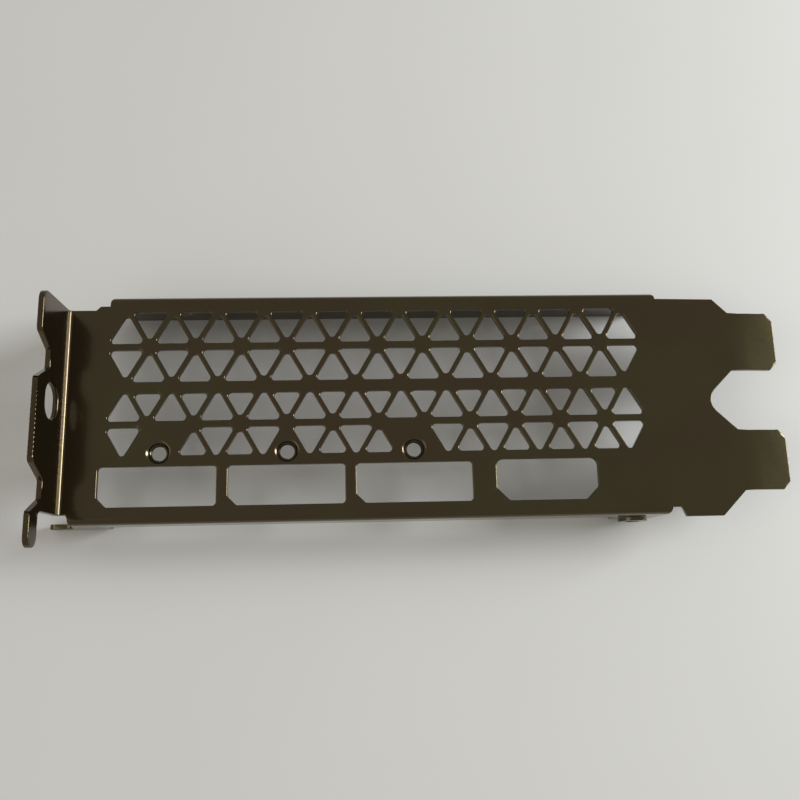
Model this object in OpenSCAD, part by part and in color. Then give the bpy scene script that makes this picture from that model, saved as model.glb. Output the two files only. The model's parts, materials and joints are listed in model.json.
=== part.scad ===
// Slot cover bracket for a double-width add-in card: one sheet, pierced and folded.
// It lies as it rests on a table, flanges down, screw tab up.
// The modules are drawn from three datums: x from the tab's outer face towards the
// tongues, y from the line midway between the tongues, z from the plate's outer face.

/* [Sheet] */
// Sheet thickness
sheet = 0.86; // [0.8:0.01:1]
// Tab's outer face to the tips of the tongues
bracket_len = 120.02; // [118:0.01:122]
// Inside radius of the long bends along the flanges
bend_r = 0.3; // [0.2:0.05:0.5]
// Plate's outer face down to the flanges' lower edges
flange_h = 10.5; // [10:0.1:13]
// Middle line to the upper flange's outer face
upper_half = 19.2; // [19:0.05:19.6]
// Middle line to the lower flange's outer face
lower_half = 18.7; // [18.5:0.05:19]
// Depth of the lower flange between its two ears
shallow_h = 5.5; // [4.5:0.1:7]
// Rounding of the flanges' corners
flange_corner_r = 1.5; // [0.5:0.1:2]

/* [Tongues] */
// Distance between two neighbouring slots
slot_pitch = 20.32; // [19.5:0.01:21]
// Width of a tongue
tongue_w = 10; // [9:0.01:11]
// Offset of the tongues from the middle line
tongue_shift = 0.14; // [0:0.01:0.3]
// Length of a tongue beyond the tapers
tongue_len = 7.92; // [7:0.01:9]
// Tip length that dips
dip_len = 4.82; // [3:0.01:5.5]
// Angle of the dip
dip_angle = 6; // [2:0.5:9]
// Chamfer at a tongue's corners
tongue_chamfer = 1.35; // [0.8:0.05:1.6]
// Sharp root of the gap between the tongues, from the tab's outer face
gap_x = 106.7; // [106:0.05:108]
// Rounding at the root of the gap
gap_r = 2.7; // [1.5:0.1:3.2]
// Small rounding of blanked corners
blank_r = 0.5; // [0.3:0.05:0.6]

/* [Wide end] */
// Start of the wide end, where the flanges stop
wide_x = 99.7; // [99.4:0.05:100]
// Middle line to the wide end's upper edge
wide_up = 17.85; // [17.6:0.05:18]
// Middle line to the wide end's lower edge
wide_low = 19.15; // [18.8:0.05:19.6]
// Middle line to the relief beside the lower flange
relief_y = 17.6; // [17.5:0.05:17.9]
// Length of the relief
relief_len = 1.55; // [1.2:0.05:2]
// Slope of the relief's far side, along x
relief_run = 0.65; // [0.4:0.05:1]

/* [Neck] */
// Middle line to the neck's upper edge
neck_up = 16.87; // [16.5:0.01:17.2]
// Middle line to the neck's lower edge
neck_low = 17.05; // [16.8:0.01:17.3]
// Neck's length at its upper edge
neck_up_len = 5.1; // [4.5:0.1:5.6]
// Neck's length at its lower edge
neck_low_len = 1.9; // [1.6:0.05:2.2]
// Start of the upper flange
upper_x = 7.35; // [7:0.05:8]
// Run of a flange's slanted end
end_run = 0.7; // [0.4:0.05:1]

/* [Screw tab] */
// Height of the tab above the plate
tab_h = 11.43; // [11:0.01:12]
// Inside radius of the tab's bend
tab_r = 0.5; // [0.3:0.05:0.8]
// How much higher the land between the notches stands
land_rise = 0.3; // [0:0.05:0.5]
// Rounding of the tab's free corners
tab_corner_r = 1.8; // [1:0.1:2]
// Middle line to the finger's end
finger_y = 22.5; // [21.5:0.1:23.5]
// Height of the finger's inner edge above the plate
finger_z = 8.2; // [8:0.05:8.6]
// Upper notch's centre from the middle line
notch_y = 6.6; // [6.2:0.05:7]
// Width of a notch at its bottom
notch_w = 2.9; // [2.4:0.1:3.4]
// Height of a notch's bottom above the plate
notch_z = 7.25; // [6.9:0.05:7.6]
// Angle of a notch's sides from upright
notch_angle = 27.5; // [20:0.5:30]
// Rounding at the mouth of a notch
mouth_r = 1; // [0.5:0.1:1.2]
// Centre of the middle hole from the middle line
mid_y = 0.2; // [-0.5:0.1:1]
// Centre of the middle hole above the plate
mid_z = 5.65; // [5.2:0.05:5.9]
// Middle hole's width
mid_w = 5.75; // [5.2:0.05:6.2]
// Middle hole's height
mid_h = 5.4; // [5.2:0.05:5.8]
// Middle hole's corner radius
mid_r = 2.3; // [1.5:0.1:2.5]
// Pitch of the shear marks on the tab's free edge
mark_pitch = 0.7; // [0.6:0.05:1]
// Depth of the shear marks
mark_depth = 0.1; // [0.06:0.02:0.16]

/* [Vents] */
// Pitch of the triangles along a row
vent_pitch = 7.56; // [7.3:0.01:7.7]
// Number of upright triangles in the first row
vent_n = 12; // [8:1:12]
// First column from the tab's outer face
vent_x = 10.28; // [10:0.05:10.8]
// Uppermost line of the lattice, from the middle line
vent_y = 17.05; // [16.7:0.05:17.2]
// Slanted web between two triangles
vent_web = 0.8; // [0.6:0.05:1]
// Bar between two rows
vent_bar = 1.1; // [0.9:0.05:1.4]
// Wider bar between the last two rows
vent_bar_low = 2.8; // [2:0.1:3.2]
// Corner radius of a triangle
vent_r = 0.6; // [0.3:0.05:0.8]
// Distance from a screw hole within which no triangle is pierced
vent_clear = 4; // [3.6:0.1:4.3]

/* [Ports] */
// Centre of the first wide port
port_x = 16.05; // [15.5:0.05:16.6]
// Pitch of the wide ports
port_pitch = 20.75; // [20.4:0.05:21]
// Number of wide ports
port_n = 3; // [2:1:3]
// Width of a wide port
port_w = 18.9; // [18:0.05:19.2]
// Height of a wide port
port_h = 6.45; // [6:0.05:6.6]
// Upper edge of the wide ports, below the middle line
port_top = 9.5; // [9.4:0.05:9.8]
// Chamfer of a wide port's key corner
port_key = 1.45; // [1:0.05:2]
// Corner radius of a wide port
port_r = 0.6; // [0.3:0.05:0.9]
// Centre of the narrow port
narrow_x = 79.32; // [78.8:0.05:80]
// Width of the narrow port
narrow_w = 16.75; // [16:0.05:17.5]
// Height of the narrow port
narrow_h = 6.75; // [6.2:0.05:6.8]
// Upper edge of the narrow port, below the middle line
narrow_top = 9.25; // [9.2:0.05:9.5]
// Chamfer of the narrow port's lower corners
narrow_key = 2.05; // [1.5:0.05:2.5]
// Radius of the narrow port's upper corners
narrow_r = 1.2; // [0.6:0.05:1.5]

/* [Screw holes] */
// Tapped holes above the ports, below the middle line
screw_y = 7.3; // [7.1:0.05:7.35]
// Bore of the tapped holes above the ports
screw_bore = 2.7; // [2.5:0.05:2.9]
// Drawn mouth of a tapped hole
screw_mouth = 3.9; // [3.5:0.05:4]
// Depth of the drawn mouth
screw_mouth_h = 0.6; // [0.4:0.05:0.8]
// Outside diameter of a drawn collar
collar_d = 3.7; // [3.5:0.05:3.9]
// Collar's end below the plate's outer face
collar_h = 1.9; // [1.6:0.05:2.4]
// Card screw's hole before the start of the wide end
card_end = 4.8; // [4.2:0.05:5]
// Card screw's hole below the plate's outer face
card_z = 7; // [6.8:0.05:7.2]
// Bore of the card screw's hole
card_bore = 2.5; // [2.3:0.05:2.7]
// Outside diameter of the card screw's collar
card_collar_d = 4.8; // [4.4:0.05:5]
// How far the card screw's collar stands out of the flange
card_collar_h = 0.65; // [0.5:0.05:1]
// Plain holes in the upper flange
shroud_d = 3.2; // [2.8:0.1:3.6]
// First plain hole from the tab's outer face
shroud_x = 18; // [15:0.5:22]
// Distance between the plain holes
shroud_pitch = 70; // [60:0.5:74]

/* [Ears] */
// Far end of the ear at the tab
ear_x = 7; // [5:0.5:10]
// Width of the ear at the tongues
ear_w = 7.7; // [7.4:0.1:9]
// Locating finger beyond the tab's outer face
pin_len = 3.4; // [2.8:0.1:3.8]
// Height of the locating finger
pin_h = 2.7; // [2.4:0.1:3]
// Rounding of the locating finger's end
pin_r = 1.3; // [0.8:0.05:1.3]

/* [Hidden] */
$fn = 48;
clear = 1;
// How far a corner's arc reaches past the straight sides, so that they cross cleanly
arc_lap = 0.001;
bend_o = bend_r + sheet;
tab_o = tab_r + sheet;
tip_up = (slot_pitch + tongue_w) / 2 + tongue_shift;
tip_low = (slot_pitch + tongue_w) / 2 - tongue_shift;
gap_half = (slot_pitch - tongue_w) / 2;
gap_up = gap_half + tongue_shift;
gap_low = gap_half - tongue_shift;
taper_x = bracket_len - tongue_len;
dip_x = bracket_len - dip_len;
upper_bend = upper_half - bend_o;
lower_bend = lower_half - bend_o;
end_x = wide_x - end_run;
card_x = wide_x - card_end;
row_h = vent_pitch * sqrt(3) / 2;
land_h = tab_h + land_rise;
mouth_half = notch_w / 2 + (tab_h - notch_z) * tan(notch_angle);
land_half = notch_w / 2 + (land_h - notch_z) * tan(notch_angle);
vent_low = vent_y - 4 * row_h;
screw_xs = [for (i = [0 : port_n - 1]) port_x + i * port_pitch];
middle_x = (bracket_len - pin_len) / 2;
middle_y = (upper_half - finger_y) / 2;
metal = [0.24, 0.21, 0.17];

// Unit vector from p to q
function way_to(p, q) = (q - p) / norm(q - p);

// Half the angle at the corner b
function half_angle(a, b, c) = acos(way_to(b, a) * way_to(b, c)) / 2;

// Where the arc of radius r that rounds the corner b leaves the edge towards a
function leave(a, b, c, r) = b + way_to(b, a) * r / tan(half_angle(a, b, c));

// Centre of that arc
function centre(a, b, c, r) =
    b + way_to([0, 0], way_to(b, a) + way_to(b, c)) * r / sin(half_angle(a, b, c));

// Positive where the outline a, b, c turns left, at a convex corner
function turn(a, b, c) = (b.x - a.x) * (c.y - b.y) - (b.y - a.y) * (c.x - b.x);

// Convex opening through points [x, y, corner radius]
module opening(pts) {
    n = len(pts);
    p = [for (q = pts) [q.x, q.y]];
    prev = [for (i = [0 : n - 1]) p[(i + n - 1) % n]];
    next = [for (i = [0 : n - 1]) p[(i + 1) % n]];
    polygon([
        for (i = [0 : n - 1])
            each [
                leave(prev[i], p[i], next[i], pts[i][2]),
                leave(next[i], p[i], prev[i], pts[i][2])
            ]
    ]);
    for (i = [0 : n - 1])
        translate(centre(prev[i], p[i], next[i], pts[i][2]))
            circle(pts[i][2] + arc_lap);
}

// Region between a sharp corner b and the arc that rounds it
module corner_sliver(a, b, c, r) {
    difference() {
        polygon([b, leave(a, b, c, r), centre(a, b, c, r), leave(c, b, a, r)]);
        translate(centre(a, b, c, r))
            circle(r + arc_lap);
    }
}

// Blanked outline through points [x, y, corner radius], given anticlockwise
module blanked(pts) {
    n = len(pts);
    p = [for (q = pts) [q.x, q.y]];
    prev = [for (i = [0 : n - 1]) p[(i + n - 1) % n]];
    next = [for (i = [0 : n - 1]) p[(i + 1) % n]];
    difference() {
        union() {
            polygon(p);
            for (i = [0 : n - 1])
                if (pts[i][2] > 0 && turn(prev[i], p[i], next[i]) < 0)
                    corner_sliver(prev[i], p[i], next[i], pts[i][2]);
        }
        for (i = [0 : n - 1])
            if (pts[i][2] > 0 && turn(prev[i], p[i], next[i]) > 0)
                corner_sliver(prev[i], p[i], next[i], pts[i][2]);
    }
}

module along_x(x0, x1) {
    translate([x0, 0, 0])
        rotate([90, 0, 90])
            linear_extrude(x1 - x0)
                children();
}

module along_y(y0, y1) {
    translate([0, y1, 0])
        rotate([90, 0, 0])
            linear_extrude(y1 - y0)
                children();
}

module along_z(z0, z1) {
    translate([0, 0, z0])
        linear_extrude(z1 - z0)
            children();
}

// Flat sheet from the tab's bend to the tongues, seen from above
module plan_outline() {
    blanked([
        [tab_o, -neck_low, 0],
        [neck_low_len, -neck_low, 0],
        [neck_low_len + (neck_low_len - tab_o) / 2, -lower_bend, 0],
        [wide_x, -lower_bend, 0],
        [wide_x, -relief_y, 0],
        [wide_x + relief_len, -relief_y, blank_r],
        [wide_x + relief_len + relief_run, -wide_low, blank_r / 2],
        [taper_x - (wide_low - tip_low), -wide_low, blank_r],
        [taper_x, -tip_low, blank_r],
        [bracket_len - tongue_chamfer, -tip_low, blank_r],
        [bracket_len, tongue_chamfer - tip_low, blank_r],
        [bracket_len, -gap_low - tongue_chamfer, blank_r],
        [bracket_len - tongue_chamfer, -gap_low, blank_r],
        [gap_x + gap_half, -gap_low, blank_r],
        [gap_x, tongue_shift, gap_r],
        [gap_x + gap_half, gap_up, blank_r],
        [bracket_len - tongue_chamfer, gap_up, blank_r],
        [bracket_len, gap_up + tongue_chamfer, blank_r],
        [bracket_len, tip_up - tongue_chamfer, blank_r],
        [bracket_len - tongue_chamfer, tip_up, blank_r],
        [taper_x, tip_up, blank_r],
        [taper_x - (wide_up - tip_up), wide_up, blank_r],
        [wide_x, wide_up, 0],
        [wide_x, upper_bend, 0],
        [upper_x, upper_bend, 0],
        [upper_x, neck_up + end_run, 0],
        [neck_up_len + end_run, neck_up + end_run, blank_r / 2],
        [neck_up_len, neck_up, blank_r / 2],
        [tab_o, neck_up, 0]
    ]);
}

// Sheet seen from the side, with the dip at the tongues' tips
module edge_profile() {
    past = bracket_len + clear;
    drop = (dip_len + clear) * tan(dip_angle);
    polygon([
        [tab_o, -sheet],
        [dip_x - sheet * tan(dip_angle / 2), -sheet],
        [past, -drop - sheet / cos(dip_angle)],
        [past, -drop],
        [dip_x, 0],
        [tab_o, 0]
    ]);
}

// Triangle of the lattice: way 1 points to +y and has its base on the row's lower line
module vent(x, row, way, inset) {
    base_y = vent_y - (row + (1 + way) / 2) * row_h + way * inset;
    height = row_h - vent_web - inset;
    opening([
        [x - way * height / sqrt(3), base_y, vent_r],
        [x + way * height / sqrt(3), base_y, vent_r],
        [x, base_y + way * height, vent_r]
    ]);
}

// Is this place in the last row clear of every screw hole?
function is_clear(x, y) = min([for (s = screw_xs) norm([x - s, y + screw_y])]) > vent_clear;

module vents() {
    for (row = [0 : 3]) {
        even = row % 2 == 0;
        up_x = vent_x + (even ? 0 : vent_pitch / 2);
        down_x = vent_x + (even ? vent_pitch / 2 : 0);
        up_n = even ? vent_n : vent_n - 1;
        down_n = even ? vent_n - 1 : vent_n;
        low_y = vent_y - (row + 1) * row_h;
        up_inset = (row == 3 ? vent_bar_low : vent_bar) / 2;
        down_inset = (row == 2 ? vent_bar_low : vent_bar) / 2;
        for (i = [0 : up_n - 1])
            if (is_clear(up_x + i * vent_pitch, low_y + row_h / 3))
                vent(up_x + i * vent_pitch, row, 1, up_inset);
        for (i = [0 : down_n - 1])
            if (is_clear(down_x + i * vent_pitch, low_y + row_h * 2 / 3))
                vent(down_x + i * vent_pitch, row, -1, down_inset);
    }
}

module wide_port(x) {
    left = x - port_w / 2;
    right = x + port_w / 2;
    low = -port_top - port_h;
    opening([
        [left + port_key, low, port_r],
        [right, low, port_r],
        [right, -port_top, port_r],
        [left, -port_top, port_r],
        [left, low + port_key, port_r]
    ]);
}

module narrow_port() {
    left = narrow_x - narrow_w / 2;
    right = narrow_x + narrow_w / 2;
    low = -narrow_top - narrow_h;
    opening([
        [left + narrow_key, low, port_r],
        [right - narrow_key, low, port_r],
        [right, low + narrow_key, port_r],
        [right, -narrow_top, narrow_r],
        [left, -narrow_top, narrow_r],
        [left, low + narrow_key, port_r]
    ]);
}

// Plate, wide end and tongues, pierced
module plate() {
    intersection() {
        along_y(-upper_half - clear, upper_half + clear)
            edge_profile();
        along_z(-flange_h, clear)
            difference() {
                plan_outline();
                vents();
                for (x = screw_xs)
                    wide_port(x);
                narrow_port();
            }
    }
}

// Long bend and flange seen from the end, drawn from the bend's start at y = 0
module flange_profile() {
    difference() {
        union() {
            intersection() {
                translate([0, -bend_o])
                    circle(bend_o);
                translate([0, -bend_o])
                    square(bend_o);
            }
            translate([bend_r, -flange_h])
                square([sheet, flange_h - bend_o]);
        }
        translate([0, -bend_o])
            circle(bend_r);
    }
}

module upper_side() {
    blanked([
        [upper_x, clear, 0],
        [upper_x, 0, 0],
        [upper_x + end_run, -bend_o, 0],
        [upper_x + end_run, -flange_h, flange_corner_r],
        [end_x, -flange_h, flange_corner_r],
        [end_x, -bend_o, 0],
        [wide_x, 0, 0],
        [wide_x, clear, 0]
    ]);
}

module upper_flange() {
    difference() {
        intersection() {
            translate([0, upper_bend, 0])
                along_x(upper_x, wide_x)
                    flange_profile();
            along_y(upper_bend, upper_half + clear)
                upper_side();
        }
        for (x = [shroud_x, shroud_x + shroud_pitch])
            along_y(upper_bend, upper_half + clear)
                translate([x, -card_z])
                    circle(d = shroud_d);
    }
}

// Lower flange seen from the side, with the ear and locating finger at the tab
// and the card screw's ear at the tongues
module lower_side() {
    start = neck_low_len + (neck_low_len - tab_o) / 2;
    blanked([
        [start, clear, 0],
        [start, 0, 0],
        [start + end_run / 2, -bend_o, 0],
        [sheet, pin_h - flange_h, flange_corner_r],
        [-pin_len, pin_h - flange_h, pin_r],
        [-pin_len, -flange_h, pin_r],
        [ear_x, -flange_h, flange_corner_r],
        [ear_x, -shallow_h, flange_corner_r],
        [end_x - ear_w, -shallow_h, flange_corner_r],
        [end_x - ear_w, -flange_h, flange_corner_r],
        [end_x, -flange_h, flange_corner_r],
        [end_x, -bend_o, 0],
        [wide_x, 0, 0],
        [wide_x, clear, 0]
    ]);
}

module lower_flange() {
    mirror([0, 1, 0])
        difference() {
            union() {
                intersection() {
                    translate([0, lower_bend, 0])
                        along_x(-pin_len, wide_x)
                            flange_profile();
                    along_y(lower_bend, lower_half + clear)
                        lower_side();
                }
                along_y(lower_half - sheet / 2, lower_half + card_collar_h)
                    translate([card_x, -card_z])
                        circle(d = card_collar_d);
            }
            along_y(lower_bend, lower_half + card_collar_h + clear)
                translate([card_x, -card_z])
                    circle(d = card_bore);
        }
}

module tab_outline() {
    blanked([
        [-neck_low, -sheet - clear, 0],
        [neck_up, -sheet - clear, 0],
        [neck_up, tab_h, tab_corner_r],
        [notch_y + mouth_half, tab_h, mouth_r],
        [notch_y + notch_w / 2, notch_z, blank_r],
        [notch_y - notch_w / 2, notch_z, blank_r],
        [notch_y - land_half, land_h, mouth_r],
        [notch_y - slot_pitch + land_half, land_h, mouth_r],
        [notch_y - slot_pitch + notch_w / 2, notch_z, blank_r],
        [notch_y - slot_pitch - notch_w / 2, notch_z, blank_r],
        [notch_y - slot_pitch - mouth_half, tab_h, mouth_r],
        [-finger_y, tab_h, tab_corner_r - blank_r / 2],
        [-finger_y, finger_z, tab_corner_r - blank_r / 2],
        [-neck_low, finger_z, mouth_r]
    ]);
}

module mid_hole() {
    opening([
        [mid_y - mid_w / 2, mid_z - mid_h / 2, mid_r],
        [mid_y + mid_w / 2, mid_z - mid_h / 2, mid_r],
        [mid_y + mid_w / 2, mid_z + mid_h / 2, mid_r],
        [mid_y - mid_w / 2, mid_z + mid_h / 2, mid_r]
    ]);
}

// Shear marks along the free edge between the two notches
module shear_marks() {
    first = notch_y - slot_pitch + land_half + mouth_r;
    count = floor((slot_pitch - 2 * land_half - 2 * mouth_r) / mark_pitch);
    for (i = [0 : count])
        translate([first + i * mark_pitch, land_h + mark_depth])
            circle(2 * mark_depth);
}

// Tab and its bend seen from the side
module tab_profile() {
    difference() {
        union() {
            intersection() {
                translate([tab_o, tab_r])
                    circle(tab_o);
                translate([0, -sheet])
                    square(tab_o);
            }
            translate([0, tab_r])
                square([sheet, land_h + clear]);
        }
        translate([tab_o, tab_r])
            circle(tab_r);
    }
}

module tab() {
    intersection() {
        along_y(-finger_y - clear, neck_up + clear)
            tab_profile();
        along_x(-clear, tab_o)
            difference() {
                tab_outline();
                mid_hole();
                shear_marks();
            }
    }
}

// Drawn collar under the plate at a tapped hole
module collar() {
    translate([0, 0, -collar_h])
        cylinder(h = collar_h - sheet / 2, d = collar_d);
}

module tapped_hole() {
    translate([0, 0, -collar_h - clear])
        cylinder(h = collar_h + 2 * clear, d = screw_bore);
    translate([0, 0, -screw_mouth_h])
        cylinder(h = screw_mouth_h, d1 = screw_bore, d2 = screw_mouth);
}

module bracket() {
    color(metal)
        translate([-middle_x, -middle_y, flange_h])
            difference() {
                union() {
                    plate();
                    upper_flange();
                    lower_flange();
                    tab();
                    for (x = screw_xs)
                        translate([x, -screw_y, 0])
                            collar();
                }
                for (x = screw_xs)
                    translate([x, -screw_y, 0])
                        tapped_hole();
            }
}

bracket();
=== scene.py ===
"""Studio scene for a folded slot cover bracket: plated sheet, screw threads, table and lamps."""

import json
import math

import bmesh
import bpy
from bpy.props import FloatProperty, FloatVectorProperty, IntProperty, PointerProperty
from bpy.types import Operator, Panel, PropertyGroup
from mathutils import Matrix, Vector
from mathutils.bvhtree import BVHTree
from mathutils.geometry import delaunay_2d_cdt


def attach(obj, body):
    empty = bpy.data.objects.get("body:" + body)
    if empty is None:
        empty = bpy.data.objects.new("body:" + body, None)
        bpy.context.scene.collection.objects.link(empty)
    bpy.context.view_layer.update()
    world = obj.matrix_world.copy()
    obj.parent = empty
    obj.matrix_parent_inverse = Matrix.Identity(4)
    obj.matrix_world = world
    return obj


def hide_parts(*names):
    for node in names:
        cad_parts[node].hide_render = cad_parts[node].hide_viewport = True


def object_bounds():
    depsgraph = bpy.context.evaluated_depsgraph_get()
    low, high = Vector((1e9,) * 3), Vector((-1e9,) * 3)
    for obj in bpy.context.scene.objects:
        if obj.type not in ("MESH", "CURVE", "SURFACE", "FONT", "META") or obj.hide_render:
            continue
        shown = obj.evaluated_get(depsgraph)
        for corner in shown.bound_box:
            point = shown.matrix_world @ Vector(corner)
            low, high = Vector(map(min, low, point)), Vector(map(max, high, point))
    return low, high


bl_info = {
    "name": "Slot cover bracket",
    "version": (1, 0, 0),
    "blender": (4, 5, 0),
    "location": "3D View > Sidebar > Bracket",
    "description": "Dresses a folded slot cover bracket and lights it on a table",
    "category": "Object",
}

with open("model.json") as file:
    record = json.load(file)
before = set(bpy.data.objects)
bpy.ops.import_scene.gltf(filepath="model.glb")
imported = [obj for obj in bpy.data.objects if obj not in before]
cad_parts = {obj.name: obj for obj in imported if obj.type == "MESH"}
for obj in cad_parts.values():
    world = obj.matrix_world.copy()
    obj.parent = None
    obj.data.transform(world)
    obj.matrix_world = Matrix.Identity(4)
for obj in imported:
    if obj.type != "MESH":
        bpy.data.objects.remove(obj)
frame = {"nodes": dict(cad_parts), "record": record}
CAD_LOW, CAD_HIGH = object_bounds()
MOUNTS = {m["name"]: m["pos_m"] for m in frame["record"]["mounts"]}
PORT_SCREWS = [place for name, place in MOUNTS.items() if name.startswith("port_screw")]

MM = 0.001
UP = Vector((0, 0, 1))
SHEET = 0.86 * MM
# The case's wall lies on the plate's outer face.
PLATE_TOP = MOUNTS["case_face"][2]

# Two faces belong to different sides of the sheet when they meet at more than this.
SHARP = math.radians(35)
# Shading runs over edges of less than this, so it runs over the rings of a rounded rim.
SHADED_ACROSS = math.radians(48)
# A corner this near to a plane lies in it.
FLAT_WITHIN = 0.0015 * MM
# Flat regions smaller than this keep their triangles.
SMALLEST_FLAT = 20 * MM * MM
# A new triangle whose middle is further than this from the old face spans an opening.
OFF_THE_FACE = 0.03 * MM
# Share of a round's radius by which its middle lies inside either of the faces it joins.
ROUND_MIDDLE = 0.293
# At an acute corner the mitre stops growing here.
MITRE_LIMIT = 0.6

# Shape of a thread's ridge, as shares of its pitch, and how far it is sunk in the wall.
RIDGE_HALF = 0.42
CREST_HALF = 0.06
SUNK = 0.02 * MM
STEPS_A_TURN = 40

TABLE_HALF = 1.5
COOL = (0.93, 0.97, 1.0)
WARM = (1.0, 0.96, 0.9)


class Sock:
    """A node's output with Python's arithmetic: an expression adds its Math nodes."""

    def __init__(self, tree, value):
        self.tree = tree
        self.value = value

    def math(self, operation, first, second):
        return self.tree.node("ShaderNodeMath", {"operation": operation}, {0: first, 1: second})

    def __add__(self, other):
        return self.math("ADD", self, other)

    __radd__ = __add__

    def __sub__(self, other):
        return self.math("SUBTRACT", self, other)

    def __rsub__(self, other):
        return self.math("SUBTRACT", other, self)

    def __mul__(self, other):
        return self.math("MULTIPLY", self, other)

    __rmul__ = __mul__

    def between(self, low, high):
        """0 below low, 1 above high, smooth in between."""
        return self.tree.node(
            "ShaderNodeMapRange",
            {"interpolation_type": "SMOOTHSTEP"},
            {"Value": self, "From Min": low, "From Max": high},
        )


class Tree:
    """A material's or the world's node tree, emptied and built again."""

    def __init__(self, owner):
        owner.use_nodes = True
        self.tree = owner.node_tree
        self.tree.nodes.clear()

    def node(self, kind, settings=None, inputs=None, output=0):
        n = self.tree.nodes.new(kind)
        for key, value in (settings or {}).items():
            setattr(n, key, value)
        for key, value in (inputs or {}).items():
            if isinstance(value, Sock):
                self.tree.links.new(value.value, n.inputs[key])
            else:
                n.inputs[key].default_value = value
        return Sock(self, n.outputs[output]) if n.outputs else n

    def noise(self, vector, scale, detail=2.0, roughness=0.5):
        return self.node(
            "ShaderNodeTexNoise",
            None,
            {"Vector": vector, "Scale": scale, "Detail": detail, "Roughness": roughness},
        )

    def stretched(self, vector, scale):
        """The same coordinates, stretched by a scale along each axis."""
        return self.node("ShaderNodeMapping", None, {"Vector": vector, "Scale": scale})

    def blend(self, factor, a, b):
        """A colour between a and b."""
        return self.node(
            "ShaderNodeMix",
            {"data_type": "RGBA"},
            {"Factor": factor, 6: a, 7: b},
            output=2,
        )


class BracketFinish(PropertyGroup):
    """Colours and gloss of the plating."""

    tint: FloatVectorProperty(
        name="Plating tint",
        description="Colour of the nickel plating seen straight on",
        subtype="COLOR",
        size=4,
        min=0.0,
        max=1.0,
        default=(0.094, 0.066, 0.036, 1.0),
    )
    olive: FloatVectorProperty(
        name="Olive cast",
        description="Colour of the plating where it turns olive",
        subtype="COLOR",
        size=4,
        min=0.0,
        max=1.0,
        default=(0.092, 0.077, 0.036, 1.0),
    )
    sheared: FloatVectorProperty(
        name="Sheared wall",
        description="Colour of the punched walls and blanked edges",
        subtype="COLOR",
        size=4,
        min=0.0,
        max=1.0,
        default=(0.160, 0.135, 0.100, 1.0),
    )
    gloss: FloatProperty(
        name="Roughness",
        description="Roughness of the rolled faces",
        subtype="FACTOR",
        min=0.0,
        max=1.0,
        default=0.2,
    )
    lacquer: FloatProperty(
        name="Lacquer",
        description="Strength of the clear lacquer over the plating",
        subtype="FACTOR",
        min=0.0,
        max=1.0,
        default=0.3,
    )


class BracketEdges(PropertyGroup):
    """Size of the punched edges."""

    die_roll: FloatProperty(
        name="Die roll",
        description="Rounding of the edges that the punch entered, on the plate's outer face",
        unit="LENGTH",
        default=0.16 * MM,
    )


class ScrewThreads(PropertyGroup):
    """Sizes of the threads in the drawn holes."""

    pitch: FloatProperty(
        name="Pitch",
        description="Height of one turn",
        unit="LENGTH",
        default=0.5 * MM,
    )
    depth: FloatProperty(
        name="Depth",
        description="How far a crest stands out of the bore's wall",
        unit="LENGTH",
        default=0.16 * MM,
    )
    bore: FloatProperty(
        name="Bore",
        description="Radius of the bores above the ports",
        unit="LENGTH",
        default=1.35 * MM,
    )
    length: FloatProperty(
        name="Length",
        description="Threaded length of the bores above the ports",
        unit="LENGTH",
        default=1.3 * MM,
    )
    card_bore: FloatProperty(
        name="Card screw bore",
        description="Radius of the card screw's bore",
        unit="LENGTH",
        default=1.25 * MM,
    )
    card_length: FloatProperty(
        name="Card screw length",
        description="Threaded length of the card screw's bore",
        unit="LENGTH",
        default=1.51 * MM,
    )


class StudioSettings(PropertyGroup):
    """Table, lamps and camera."""

    table: FloatVectorProperty(
        name="Table",
        description="Colour of the table",
        subtype="COLOR",
        size=4,
        min=0.0,
        max=1.0,
        default=(0.76, 0.75, 0.72, 1.0),
    )
    room: FloatVectorProperty(
        name="Room",
        description="Colour and strength of the light from all round",
        subtype="COLOR",
        size=4,
        min=0.0,
        max=1.0,
        default=(0.36, 0.35, 0.33, 1.0),
    )
    key_power: FloatProperty(
        name="Key lamp",
        description="Power of the cool lamp at the tongues' side",
        unit="POWER",
        default=3.9,
    )
    key_size: FloatProperty(
        name="Key lamp's size",
        description="Side of the key lamp",
        unit="LENGTH",
        default=0.24,
    )
    key_place: FloatVectorProperty(
        name="Key lamp's place",
        description="Where the key lamp hangs",
        subtype="TRANSLATION",
        size=3,
        default=(0.55, 0.12, 0.25),
    )
    fill_power: FloatProperty(
        name="Fill lamp",
        description="Power of the warm lamp at the tab's side",
        unit="POWER",
        default=0.3,
    )
    fill_size: FloatProperty(
        name="Fill lamp's size",
        description="Side of the fill lamp",
        unit="LENGTH",
        default=0.30,
    )
    fill_place: FloatVectorProperty(
        name="Fill lamp's place",
        description="Where the fill lamp hangs",
        subtype="TRANSLATION",
        size=3,
        default=(-0.36, -0.10, 0.34),
    )
    lens: FloatProperty(
        name="Lens",
        description="Focal length on a 36 mm sensor, in millimetres",
        default=38.05,
    )
    place: FloatVectorProperty(
        name="Camera place",
        description="Where the camera stands",
        subtype="TRANSLATION",
        size=3,
        default=(-9.237 * MM, -27.083 * MM, 147.019 * MM),
    )
    turn: FloatVectorProperty(
        name="Camera turn",
        description="How the camera is tipped, leaned and turned",
        subtype="EULER",
        size=3,
        default=(math.radians(12.276), math.radians(-2.368), math.radians(-1.3305)),
    )


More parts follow.
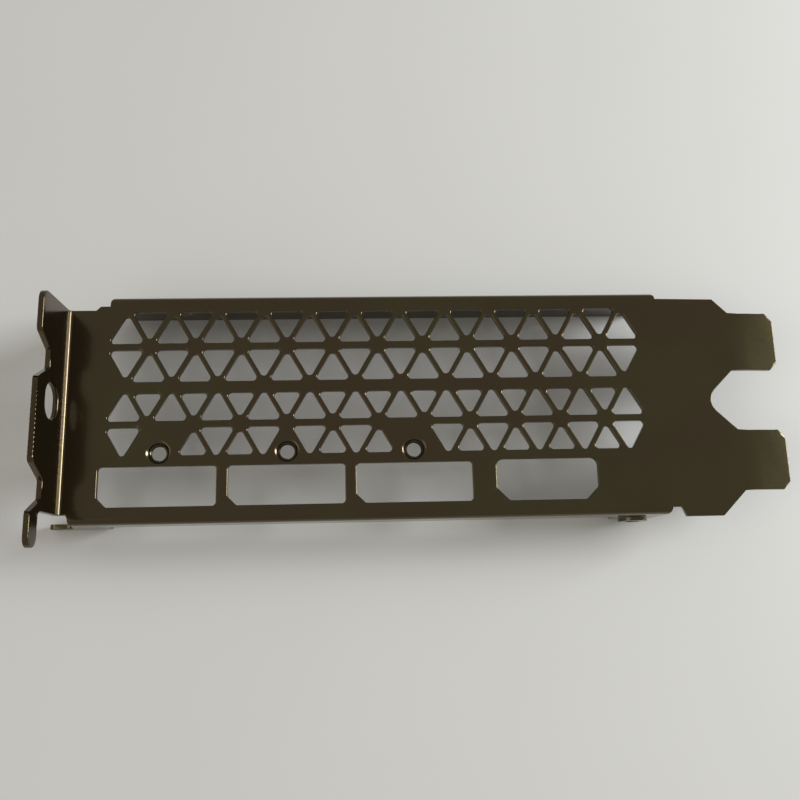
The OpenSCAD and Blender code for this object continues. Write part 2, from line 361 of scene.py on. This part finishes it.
def plating(settings):
    """Glossy black nickel: brown to olive, with dull streaks on the sheared walls."""
    material = bpy.data.materials.new("black_nickel_plating")
    t = Tree(material)
    place = t.node("ShaderNodeTexCoord", output=3)
    parts = t.node("ShaderNodeSeparateXYZ", None, {0: place}).value.node
    height = Sock(t, parts.outputs[2])
    facing = t.node("ShaderNodeNewGeometry", output=1)
    up = Sock(t, t.node("ShaderNodeSeparateXYZ", None, {0: facing}).value.node.outputs[2])
    # Walls that stand upright within the sheet's thickness, below the rounded rim.
    steep = 1 - (up * up).between(0.02, 0.2)
    in_sheet = height.between(PLATE_TOP - 1.1 * SHEET, PLATE_TOP - SHEET)
    below_roll = 1 - height.between(PLATE_TOP - 0.2 * MM, PLATE_TOP - 0.1 * MM)
    wall = steep * in_sheet * below_roll
    # Wide clouds of tint, upright shear streaks, fine skin and the grain along the sheet.
    clouds = t.noise(place, 55.0, 2.0)
    streaks = t.noise(t.stretched(place, (9000.0, 9000.0, 500.0)), 1.0, 3.0, 0.6)
    skin = t.noise(place, 2600.0, 3.0, 0.6)
    grain = t.noise(t.stretched(place, (300.0, 5200.0, 5200.0)), 1.0, 2.0)
    tint = t.blend(clouds.between(0.38, 0.66), settings.tint, settings.olive)
    colour = t.blend(wall * (0.45 + 0.5 * streaks), tint, settings.sheared)
    gloss = settings.gloss + 0.06 * (skin - 0.5) + 0.04 * (grain - 0.5) + wall * 0.12
    relief = skin * 0.25 + grain * 0.2 + wall * streaks * 3.0
    bump = t.node(
        "ShaderNodeBump",
        None,
        {"Strength": 0.35, "Distance": 0.00001, "Height": relief},
    )
    shader = t.node(
        "ShaderNodeBsdfPrincipled",
        None,
        {
            "Base Color": colour,
            "Metallic": 1.0,
            "Roughness": gloss,
            "Coat Weight": settings.lacquer,
            "Coat Roughness": 0.08,
            "Normal": bump,
        },
    )
    t.node("ShaderNodeOutputMaterial", None, {"Surface": shader})
    return material


def outer_side(bm):
    """All faces of the sheet's outer side, found from the plate's largest face on."""
    level = [f for f in bm.faces if (f.normal - UP).length < 0.001]
    plate = [f for f in level if abs(f.calc_center_median().z - PLATE_TOP) < FLAT_WITHIN]
    side = {max(plate, key=lambda f: f.calc_area())}
    waiting = list(side)
    while waiting:
        for e in waiting.pop().edges:
            if e.calc_face_angle(0.0) <= SHARP:
                fresh = set(e.link_faces) - side
                side |= fresh
                waiting += fresh
    return side


def in_order(faces):
    """The faces by their number, so that every run makes the same mesh."""
    return sorted(faces, key=lambda f: f.index)


def inward(face, edge):
    """Direction in the face, square to the edge and away from it."""
    loop = next(loop for loop in edge.link_loops if loop.face is face)
    along = loop.link_loop_next.vert.co - loop.vert.co
    return face.normal.cross(along).normalized()


def mitre(first, second):
    """Step at a corner that keeps its distance from both edges."""
    return (first + second) / max(1 + first.dot(second), MITRE_LIMIT)


def flat_groups(side):
    """Regions of the side that lie in one plane each."""
    left = set(side)
    for seed in sorted(in_order(side), key=lambda f: -f.calc_area()):
        if seed not in left:
            continue
        normal, spot = seed.normal.copy(), seed.verts[0].co.copy()
        left.discard(seed)
        group = {seed}
        waiting = [seed]
        while waiting:
            for e in waiting.pop().edges:
                for f in left.intersection(e.link_faces):
                    if all(abs(normal.dot(v.co - spot)) < FLAT_WITHIN for v in f.verts):
                        left.discard(f)
                        group.add(f)
                        waiting.append(f)
        if sum(f.calc_area() for f in group) > SMALLEST_FLAT:
            yield group


def outline_of(group, ring):
    """The flat region's outline, edge by edge, with each rim corner on the inner ring."""
    outline = []
    for f in in_order(group):
        for loop in f.loops:
            if loop.link_loop_radial_next.face not in group:
                start, end = loop.vert, loop.link_loop_next.vert
                outline.append((ring.get(start, start), ring.get(end, end)))
    return outline


def fill_flat(bm, group, ring):
    """Corners of the triangles that fill a flat region inside its new outline.

    The maths runs in millimetres, since single-precision metres are too coarse for it."""
    faces = in_order(group)
    normal = max(faces, key=lambda f: f.calc_area()).normal.copy()
    turn = normal.rotation_difference(UP).to_matrix()
    outline = outline_of(group, ring)
    verts = list(dict.fromkeys(v for pair in outline for v in pair))
    number = {v: i for i, v in enumerate(verts)}
    height = (turn @ verts[0].co).z
    flat = [(turn @ v.co).to_2d() / MM for v in verts]
    edges = [(number[a], number[b]) for a, b in outline]
    points, _, triangles, sources, _, _ = delaunay_2d_cdt(flat, edges, [], 0, 1e-6)
    merged = {}
    corners = []
    for i, (point, source) in enumerate(zip(points, sources)):
        merged.update((k, i) for k in source)
        if source:
            corners.append(verts[source[0]])
        else:
            corners.append(bm.verts.new(turn.inverted() @ (point * MM).to_3d() + normal * height))
    border = {(merged[a], merged[b]) for a, b in edges}
    old = BVHTree.FromPolygons(
        [v.co / MM for f in faces for v in f.verts],
        [range(3 * i, 3 * i + 3) for i in range(len(faces))],
    )
    by_side = {}
    for t in map(tuple, triangles):
        middle = sum((corners[i].co for i in t), Vector()) / 3 / MM
        if old.find_nearest(middle)[3] * MM <= OFF_THE_FACE:
            by_side.update(((t[i - 1], t[i]), t) for i in range(3))
    inside = {by_side[pair] for pair in border if pair in by_side}
    waiting = list(inside)
    while waiting:
        t = waiting.pop()
        for i in range(3):
            pair = (t[i - 1], t[i])
            back = pair[::-1]
            beyond = by_side.get(back)
            if beyond and beyond not in inside and pair not in border and back not in border:
                inside.add(beyond)
                waiting.append(beyond)
    return [[corners[i] for i in t] for t in inside]


def rim_edges(bm, side):
    """Each edge round the side, with the face inside it and the face outside it."""
    rim = {}
    for e in bm.edges:
        inner = [f for f in e.link_faces if f in side]
        outer = [f for f in e.link_faces if f not in side]
        if len(inner) == 1 and len(outer) == 1:
            rim[e] = (inner[0], outer[0])
    return rim


def round_rim(bm, side, radius):
    """Rounds the rim of one side of the sheet and fills that side's flat faces anew.

    Each rim corner sinks into the wall, and a middle and an inner ring join it to the face.
    A bevel leaves spikes here, where openings crowd and edges of many lengths meet."""
    rim = rim_edges(bm, side)
    ring, middle, sinks = {}, {}, {}
    for v in dict.fromkeys(v for e in rim for v in e.verts):
        near = [(*rim[e], e) for e in v.link_edges if e in rim]
        if len(near) == 2:
            across = mitre(*(inward(face, e) for face, _, e in near))
            down = mitre(*(inward(wall, e) for _, wall, e in near))
            ring[v] = bm.verts.new(v.co + across * radius)
            middle[v] = bm.verts.new(v.co + (across + down) * radius * ROUND_MIDDLE)
            sinks[v] = down * radius
    corners = []
    for e, (face, _) in rim.items():
        loop = next(loop for loop in e.link_loops if loop.face is face)
        a, b = loop.vert, loop.link_loop_next.vert
        rows = [(row.get(a, a), row.get(b, b)) for row in ({}, middle, ring)]
        for (a0, b0), (a1, b1) in zip(rows, rows[1:]):
            corners.append(list(dict.fromkeys((a0, b0, b1, a1))))
    filled = set()
    for group in flat_groups(side):
        corners += fill_flat(bm, group, ring)
        filled |= group
    corners += [[ring.get(v, v) for v in f.verts] for f in in_order(side - filled)]
    bmesh.ops.delete(bm, geom=in_order(side), context="FACES_ONLY")
    for face_corners in corners:
        if len(face_corners) > 2:
            bm.faces.new(face_corners)
    for v, step in sinks.items():
        v.co += step
    loose = [e for e in bm.edges if not e.link_faces]
    bmesh.ops.delete(bm, geom=loose, context="EDGES")
    loose = [v for v in bm.verts if not v.link_faces]
    bmesh.ops.delete(bm, geom=loose, context="VERTS")


def add_piece(context, name, bm, material):
    """A piece of the bracket from a bmesh, with its material, riding on the one body."""
    mesh = bpy.data.meshes.new(name)
    bm.to_mesh(mesh)
    bm.free()
    mesh.materials.append(material)
    piece = bpy.data.objects.new(name, mesh)
    context.scene.collection.objects.link(piece)
    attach(piece, "root")
    return piece


class BRACKET_OT_sheet(Operator):
    """Copy the bracket's solid, round its punched edges and plate it"""

    bl_idname = "bracket.sheet"
    bl_label = "Plated sheet"

    def execute(self, context):
        bm = bmesh.new()
        bm.from_mesh(frame["nodes"]["bracket"].data)
        bmesh.ops.remove_doubles(bm, verts=bm.verts, dist=0.002 * MM)
        bm.faces.index_update()
        round_rim(bm, outer_side(bm), context.scene.bracket_edges.die_roll)
        bm.normal_update()
        for e in bm.edges:
            e.smooth = e.calc_face_angle(0.0) < SHADED_ACROSS
        for f in bm.faces:
            f.smooth = True
        material = plating(context.scene.bracket_finish)
        sheet = add_piece(context, "bracket_sheet", bm, material)
        shading = sheet.modifiers.new("flat_faces", "WEIGHTED_NORMAL")
        shading.keep_sharp = True
        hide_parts("bracket")
        return {"FINISHED"}


def thread(centre, axis, bore, length, settings):
    """A mesh of one helical ridge on the wall of a bore."""
    bm = bmesh.new()
    half = RIDGE_HALF * settings.pitch
    flat = CREST_HALF * settings.pitch
    root = bore + SUNK
    crest = bore - settings.depth
    start = -length / 2 + half
    corners = [
        bm.verts.new((root, 0, start - half)),
        bm.verts.new((crest, 0, start - flat)),
        bm.verts.new((crest, 0, start + flat)),
        bm.verts.new((root, 0, start + half)),
    ]
    section = bm.faces.new(corners)
    turns = (length - 2 * half) / settings.pitch
    steps = max(8, round(turns * STEPS_A_TURN))
    bmesh.ops.spin(
        bm,
        geom=[section, *section.edges, *corners],
        cent=(0, 0, 0),
        axis=UP,
        dvec=(0, 0, settings.pitch * turns / steps),
        angle=math.tau * turns,
        steps=steps,
        use_merge=False,
        use_duplicate=False,
    )
    turn = UP.rotation_difference(Vector(axis)).to_matrix().to_4x4()
    place = Matrix.Translation(centre) @ turn
    bmesh.ops.transform(bm, matrix=place, verts=bm.verts)
    bmesh.ops.recalc_face_normals(bm, faces=bm.faces)
    return bm


class BRACKET_OT_threads(Operator):
    """Cut the threads of the drawn screw holes"""

    bl_idname = "bracket.threads"
    bl_label = "Screw threads"

    def execute(self, context):
        settings = context.scene.screw_threads
        holes = [(place, (0, 0, 1), settings.bore, settings.length) for place in PORT_SCREWS]
        holes.append(
            (MOUNTS["card_screw"], (0, 1, 0), settings.card_bore, settings.card_length)
        )
        whole = bmesh.new()
        for centre, axis, bore, length in holes:
            bm = thread(centre, axis, bore, length, settings)
            part = bpy.data.meshes.new("part")
            bm.to_mesh(part)
            bm.free()
            whole.from_mesh(part)
            bpy.data.meshes.remove(part)
        material = bpy.data.materials["black_nickel_plating"]
        add_piece(context, "screw_threads", whole, material)
        return {"FINISHED"}


def lamp(context, name, power, size, place, aim, colour):
    """A soft square lamp that faces a point."""
    light = bpy.data.lights.new(name, "AREA")
    light.shape = "SQUARE"
    light.size = size
    light.energy = power
    light.color = colour
    obj = bpy.data.objects.new(name, light)
    obj.location = place
    way = Vector(aim) - Vector(place)
    obj.rotation_euler = way.to_track_quat("-Z", "Y").to_euler()
    context.scene.collection.objects.link(obj)


class BRACKET_OT_studio(Operator):
    """Lay the table, hang the lamps and set up the camera"""

    bl_idname = "bracket.studio"
    bl_label = "Table, lamps and camera"

    def execute(self, context):
        studio = context.scene.bracket_studio
        scene = context.scene
        bm = bmesh.new()
        bmesh.ops.create_grid(bm, x_segments=2, y_segments=2, size=TABLE_HALF)
        mesh = bpy.data.meshes.new("table")
        bm.to_mesh(mesh)
        bm.free()
        table = bpy.data.objects.new("table", mesh)
        scene.collection.objects.link(table)
        material = bpy.data.materials.new("matt_table")
        t = Tree(material)
        place = t.node("ShaderNodeTexCoord", output=3)
        patches = t.noise(place, 30.0, 3.0)
        deeper = [c * 0.97 for c in studio.table[:3]] + [1.0]
        shader = t.node(
            "ShaderNodeBsdfPrincipled",
            None,
            {"Base Color": t.blend(patches, studio.table, deeper), "Roughness": 0.6},
        )
        t.node("ShaderNodeOutputMaterial", None, {"Surface": shader})
        mesh.materials.append(material)

        world = bpy.data.worlds.new("room")
        scene.world = world
        w = Tree(world)
        back = w.node("ShaderNodeBackground", None, {"Color": studio.room, "Strength": 1.0})
        w.node("ShaderNodeOutputWorld", None, {"Surface": back})

        middle = (CAD_LOW + CAD_HIGH) / 2
        lamps = (
            ("key_lamp", studio.key_power, studio.key_size, studio.key_place, COOL),
            ("fill_lamp", studio.fill_power, studio.fill_size, studio.fill_place, WARM),
        )
        for name, power, size, spot, colour in lamps:
            lamp(context, name, power, size, spot, middle, colour)

        data = bpy.data.cameras.new("camera")
        data.sensor_fit = "HORIZONTAL"
        data.sensor_width = 36.0
        data.lens = studio.lens
        data.clip_start = 0.005
        data.clip_end = 20.0
        data.dof.use_dof = False
        camera = bpy.data.objects.new("camera", data)
        camera.location = studio.place
        camera.rotation_euler = studio.turn
        scene.collection.objects.link(camera)
        scene.camera = camera
        scene.view_settings.view_transform = "Standard"
        return {"FINISHED"}


class BRACKET_PT_panel(Panel):
    """Lists the bracket's pieces and the studio"""

    bl_idname = "BRACKET_PT_panel"
    bl_label = "Slot cover bracket"
    bl_space_type = "VIEW_3D"
    bl_region_type = "UI"
    bl_category = "Bracket"

    def draw(self, context):
        groups = (
            ("bracket_finish", None),
            ("bracket_edges", BRACKET_OT_sheet),
            ("screw_threads", BRACKET_OT_threads),
            ("bracket_studio", BRACKET_OT_studio),
        )
        for name, operator in groups:
            group = getattr(context.scene, name)
            box = self.layout.box()
            for key in group.__annotations__:
                box.prop(group, key)
            if operator:
                box.operator(operator.bl_idname)


CLASSES = (
    BracketFinish,
    BracketEdges,
    ScrewThreads,
    StudioSettings,
    BRACKET_OT_sheet,
    BRACKET_OT_threads,
    BRACKET_OT_studio,
    BRACKET_PT_panel,
)


def register():
    for cls in CLASSES:
        bpy.utils.register_class(cls)
    scene = bpy.types.Scene
    scene.bracket_finish = PointerProperty(type=BracketFinish)
    scene.bracket_edges = PointerProperty(type=BracketEdges)
    scene.screw_threads = PointerProperty(type=ScrewThreads)
    scene.bracket_studio = PointerProperty(type=StudioSettings)


def unregister():
    scene = bpy.types.Scene
    del scene.bracket_finish
    del scene.bracket_edges
    del scene.screw_threads
    del scene.bracket_studio
    for cls in reversed(CLASSES):
        bpy.utils.unregister_class(cls)


def main():
    """Register the add-on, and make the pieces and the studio."""
    register()
    bpy.ops.bracket.sheet()
    bpy.ops.bracket.threads()
    bpy.ops.bracket.studio()


if __name__ == "__main__":
    main()
